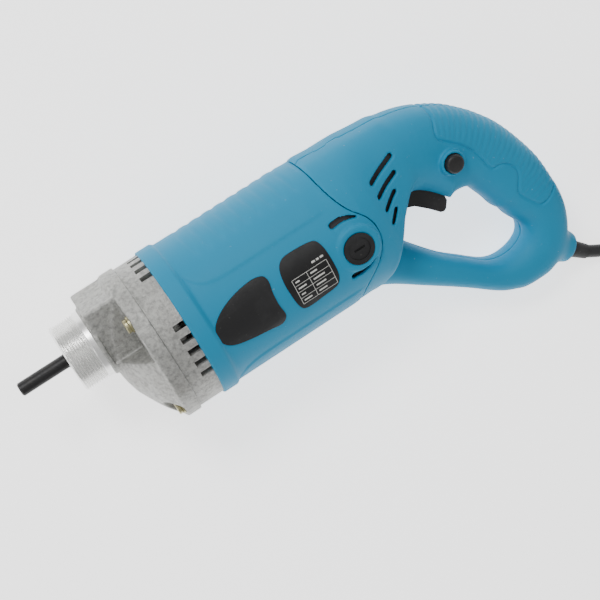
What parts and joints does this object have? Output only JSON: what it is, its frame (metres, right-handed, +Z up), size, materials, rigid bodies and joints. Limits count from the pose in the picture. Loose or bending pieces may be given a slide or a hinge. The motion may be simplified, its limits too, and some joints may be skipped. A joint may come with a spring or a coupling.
{
  "type": "concrete_vibrator",
  "caption": "Hand-held electric drive unit with a D-handle, trigger, lock button, threaded collar and round drive nose for a poker shaft.",
  "frame": {"origin": "on the ground plane, under the centre of the tool's footprint as it lies on its side, cord left out", "axes": "+X along the motor axis towards the handle, +Z up, near side of the tool facing up and rolled 20 degrees about X"},
  "size_m": [0.5306, 0.1907, 0.0924],
  "materials": {
    "turned_aluminium": "bright turned",
    "blackened_steel": "black oxide",
    "machined_steel": "ground",
    "spring_steel": "drawn wire",
    "bearing_steel": "polished",
    "cast_aluminium": "rough cast, grey",
    "zinc_yellow": "yellow zinc",
    "laminated_steel": "laminated",
    "copper_winding": "enamelled wire",
    "copper_bars": "turned copper",
    "moulded_nylon": "matte",
    "black_plastic": "fine grain",
    "trigger_plastic": "fine grain",
    "plate_black": "printed foil",
    "blue_plastic": "moulded, satin",
    "carbon": "graphite",
    "capacitor_yellow": "moulded case",
    "terminal_white": "moulded",
    "black_rubber": "matte",
    "cord_sheath": "matte",
    "plug_nickel": "nickel plated"
  },
  "bodies": {
    "tool": {"thread_collar": "turned_aluminium", "spindle_seal": "black_rubber", "spindle_front_bearing": "bearing_steel", "spindle_rear_bearing": "bearing_steel", "gear_case": "cast_aluminium", "bearing_shield": "cast_aluminium", "case_screws": "zinc_yellow", "case_washers": "zinc_yellow", "armature_front_bearing": "bearing_steel", "armature_rear_bearing": "bearing_steel", "air_baffle": "moulded_nylon", "stator_core": "laminated_steel", "field_coils": "copper_winding", "brush_holders": "black_plastic", "carbon_brushes": "carbon", "brush_springs": "spring_steel", "brush_caps": "black_plastic", "motor_housing": "blue_plastic", "handle_near_half": "blue_plastic", "handle_far_half": "blue_plastic", "handle_screws": "zinc_yellow", "side_pads": "black_plastic", "rating_plate": "plate_black", "blank_plate": "plate_black", "trigger_pin": "machined_steel", "trigger_spring": "spring_steel", "switch_body": "moulded_nylon", "suppression_capacitor": "capacitor_yellow", "terminal_block": "terminal_white", "lock_spring": "spring_steel", "cord_sleeve": "black_rubber", "cord_tail": "cord_sheath", "cord_clamp": "moulded_nylon", "cord_run": "cord_sheath", "cord_coil": "cord_sheath", "cord_lead": "cord_sheath", "plug_body": "black_rubber", "plug_pins": "plug_nickel"},
    "armature": {"armature_shaft": "machined_steel", "armature_core": "laminated_steel", "armature_windings": "copper_winding", "commutator": "copper_bars", "cooling_fan": "moulded_nylon"},
    "spindle": {"drive_spindle": "blackened_steel", "spindle_gear": "machined_steel", "gear_circlip": "spring_steel"},
    "trigger_lever": {"trigger": "trigger_plastic"},
    "plunger": {"switch_plunger": "trigger_plastic"},
    "lock": {"lock_button": "trigger_plastic"}
  },
  "joints": [
    {"name": "armature_spin", "type": "hinge", "parent": "tool", "child": "armature", "pos_m": [-0.0234, 0.0302, 0.0462], "axis": [1, 0, 0], "continuous": true},
    {"name": "spindle_spin", "type": "hinge", "parent": "tool", "child": "spindle", "pos_m": [-0.1034, 0.04711, 0.05236], "axis": [1, 0, 0], "continuous": true},
    {"name": "trigger_pull", "type": "hinge", "parent": "tool", "child": "trigger_lever", "pos_m": [0.0736, 0.02926, 0.04586], "axis": [0, -0.342, 0.9397], "range_deg": [0, 8], "stiffness_Nm_per_rad": 0.4, "springref_deg": -5.73},
    {"name": "plunger_slide", "type": "slide", "parent": "tool", "child": "plunger", "axis": [0, 0.9397, 0.342], "range_m": [0, 0.0016]},
    {"name": "lock_press", "type": "slide", "parent": "tool", "child": "lock", "axis": [0, 0.342, -0.9397], "range_m": [0, 0.003], "stiffness_N_per_m": 300, "springref_m": -0.001, "deforming": ["lock_spring"]}
  ],
  "couplings": [
    {"joint": "spindle_spin", "follows": "armature_spin", "ratio": -0.28571},
    {"joint": "plunger_slide", "follows": "trigger_pull", "m_per_rad": 0.011}
  ]
}
